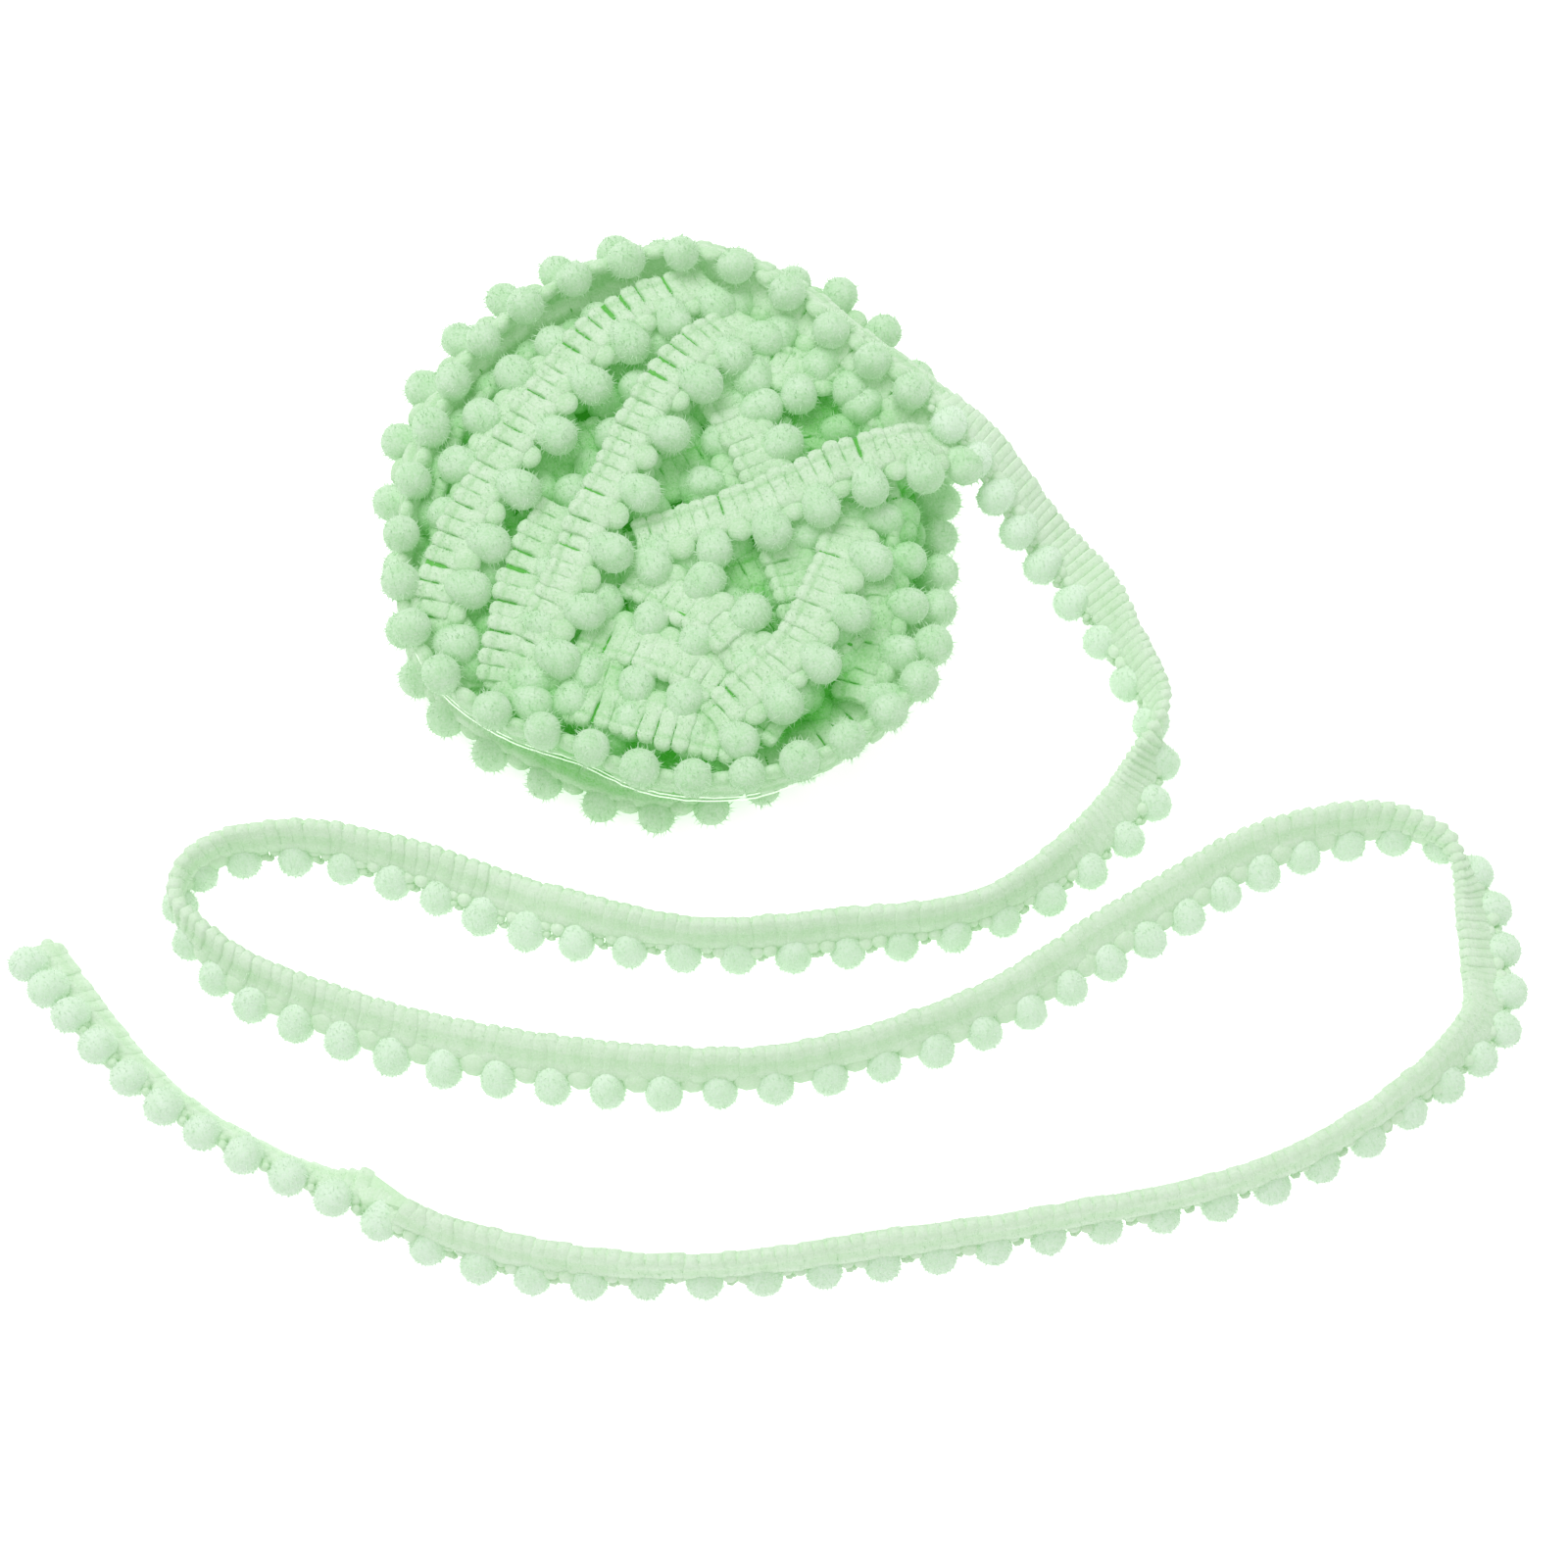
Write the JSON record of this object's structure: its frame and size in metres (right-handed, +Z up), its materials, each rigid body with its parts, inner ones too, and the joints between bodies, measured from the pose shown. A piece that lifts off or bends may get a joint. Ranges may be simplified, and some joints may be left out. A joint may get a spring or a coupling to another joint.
{
  "type": "pompom fringe trim",
  "caption": "Mini pompom fringe trim: a woven tape with a row of small fuzzy balls along one edge, wound into a flat ball with one loose end laid in an S.",
  "frame": {"origin": "middle of the wound ball's flat spot, on the surface it lies on", "axes": "+Z up, +X along the longest side, towards the loose end's far loop; +Y from the loose end towards the ball's far side"},
  "size_m": [0.196, 0.1449, 0.0264],
  "materials": {
    "woven_tape": "soft ribbed chenille tape, mint green",
    "pompom_yarn": "velvety cut-pile pompoms, mint green"
  },
  "bodies": {
    "root": {"ball": "pompom_yarn", "tail_tape": "woven_tape", "tail_pompoms": "pompom_yarn"}
  },
  "joints": []
}
